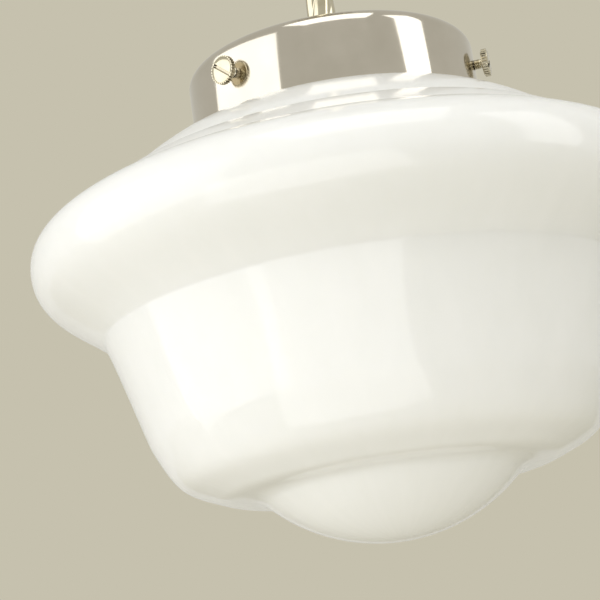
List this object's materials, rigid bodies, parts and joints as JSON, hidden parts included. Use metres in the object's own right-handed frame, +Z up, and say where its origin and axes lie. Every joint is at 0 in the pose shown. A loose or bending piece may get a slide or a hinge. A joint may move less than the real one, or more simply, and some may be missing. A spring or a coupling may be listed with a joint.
{
  "type": "schoolhouse pendant light",
  "caption": "Ceiling pendant with an opal glass shade held in a nickel gallery by thumbscrews, on a twisted stem that turns and tilts at a swivel under its canopy",
  "frame": {"origin": "Middle of the ceiling strap's upper face, on the ceiling plane and on the lamp's vertical axis", "axes": "+Z points up into the ceiling, the lamp hangs down along -Z, +X runs along the ceiling strap and along the swivel's tilt axis, away from the terminal block"},
  "size_m": [0.241, 0.241, 0.4713],
  "materials": {
    "nickel": "brushed satin nickel",
    "zinc_steel": "zinc plated steel",
    "brass": "plain turned brass",
    "nylon": "natural nylon",
    "flex_sheath": "white cable sheath",
    "core_insulation": "coloured core insulation",
    "porcelain": "glazed porcelain",
    "opal_glass": "glossy blown opal glass",
    "black_glass": "black glass insulator",
    "bulb_white": "soft white coated glass"
  },
  "bodies": {
    "ceiling_body": {"ceiling_strap": "zinc_steel", "earth_screw": "brass", "terminal_block": "nylon", "terminal_sleeves": "brass", "terminal_screws": "zinc_steel", "block_screw": "zinc_steel", "canopy": "nickel", "canopy_screws": "nickel", "canopy_collar": "nickel", "top_nipple": "brass", "nipple_washer": "zinc_steel", "nipple_nut": "brass", "swivel_washer": "brass", "swivel_nut": "brass", "flex_upper": "flex_sheath", "upper_cores": "core_insulation"},
    "fork_body": {"swivel_fork": "nickel", "pivot_screws": "nickel"},
    "stem_body": {"swivel_tongue": "nickel", "top_ferrule": "nickel", "stem": "nickel", "stem_collar": "nickel", "lower_nipple": "brass", "gallery": "nickel", "gallery_washer": "zinc_steel", "gallery_nut": "brass", "lampholder_cap": "brass", "cord_grip": "nylon", "holder_earth_screw": "brass", "lampholder_core": "porcelain", "holder_terminals": "brass", "holder_screws": "zinc_steel", "contact_rivets": "brass", "lamp_thread": "brass", "centre_contact": "brass", "lampholder_shell": "porcelain", "flex_lower": "flex_sheath", "lower_cores": "core_insulation"},
    "tip_1": {"pad_1": "nylon"},
    "tip_2": {"pad_2": "nylon"},
    "tip_3": {"pad_3": "nylon"},
    "screw_1": {"thumbscrew_1": "nickel"},
    "screw_2": {"thumbscrew_2": "nickel"},
    "screw_3": {"thumbscrew_3": "nickel"},
    "shade_body": {"glass_shade": "opal_glass"},
    "bulb_body": {"bulb_contact": "zinc_steel", "bulb_insulator": "black_glass", "bulb_cap": "zinc_steel", "bulb_glass": "bulb_white"}
  },
  "joints": [
    {"name": "swivel_turn", "type": "hinge", "parent": "ceiling_body", "child": "fork_body", "pos_m": [0, 0, -0.0372], "axis": [0, 0, 1], "range_deg": [-170, 170]},
    {"name": "swivel_tilt", "type": "hinge", "parent": "fork_body", "child": "stem_body", "pos_m": [0, 0, -0.0545], "axis": [1, 0, 0], "range_deg": [-45, 45]},
    {"name": "tip_1_travel", "type": "slide", "parent": "stem_body", "child": "tip_1", "axis": [1, 0, 0], "range_m": [0, 0.0056]},
    {"name": "thumbscrew_1_turn", "type": "hinge", "parent": "tip_1", "child": "screw_1", "pos_m": [0.0573, 0, -0.3015], "axis": [1, 0, 0], "range_deg": [0, 2880]},
    {"name": "tip_2_travel", "type": "slide", "parent": "stem_body", "child": "tip_2", "axis": [-0.5, 0.866, 0], "range_m": [0, 0.0056]},
    {"name": "thumbscrew_2_turn", "type": "hinge", "parent": "tip_2", "child": "screw_2", "pos_m": [-0.02865, 0.04962, -0.3015], "axis": [-0.5, 0.866, 0], "range_deg": [0, 2880]},
    {"name": "tip_3_travel", "type": "slide", "parent": "stem_body", "child": "tip_3", "axis": [-0.5, -0.866, 0], "range_m": [0, 0.0056]},
    {"name": "thumbscrew_3_turn", "type": "hinge", "parent": "tip_3", "child": "screw_3", "pos_m": [-0.02865, -0.04962, -0.3015], "axis": [-0.5, -0.866, 0], "range_deg": [0, 2880]},
    {"name": "shade_turn", "type": "hinge", "parent": "stem_body", "child": "shade_body", "pos_m": [0, 0, -0.3], "axis": [0, 0, 1], "range_deg": [-180, 180]},
    {"name": "bulb_out", "type": "slide", "parent": "stem_body", "child": "bulb_body", "axis": [0, 0, -1], "range_m": [0, 0.022]}
  ],
  "couplings": [
    {"joint": "thumbscrew_1_turn", "follows": "tip_1_travel", "rad_per_m": 8976},
    {"joint": "thumbscrew_2_turn", "follows": "tip_2_travel", "rad_per_m": 8976},
    {"joint": "thumbscrew_3_turn", "follows": "tip_3_travel", "rad_per_m": 8976}
  ]
}
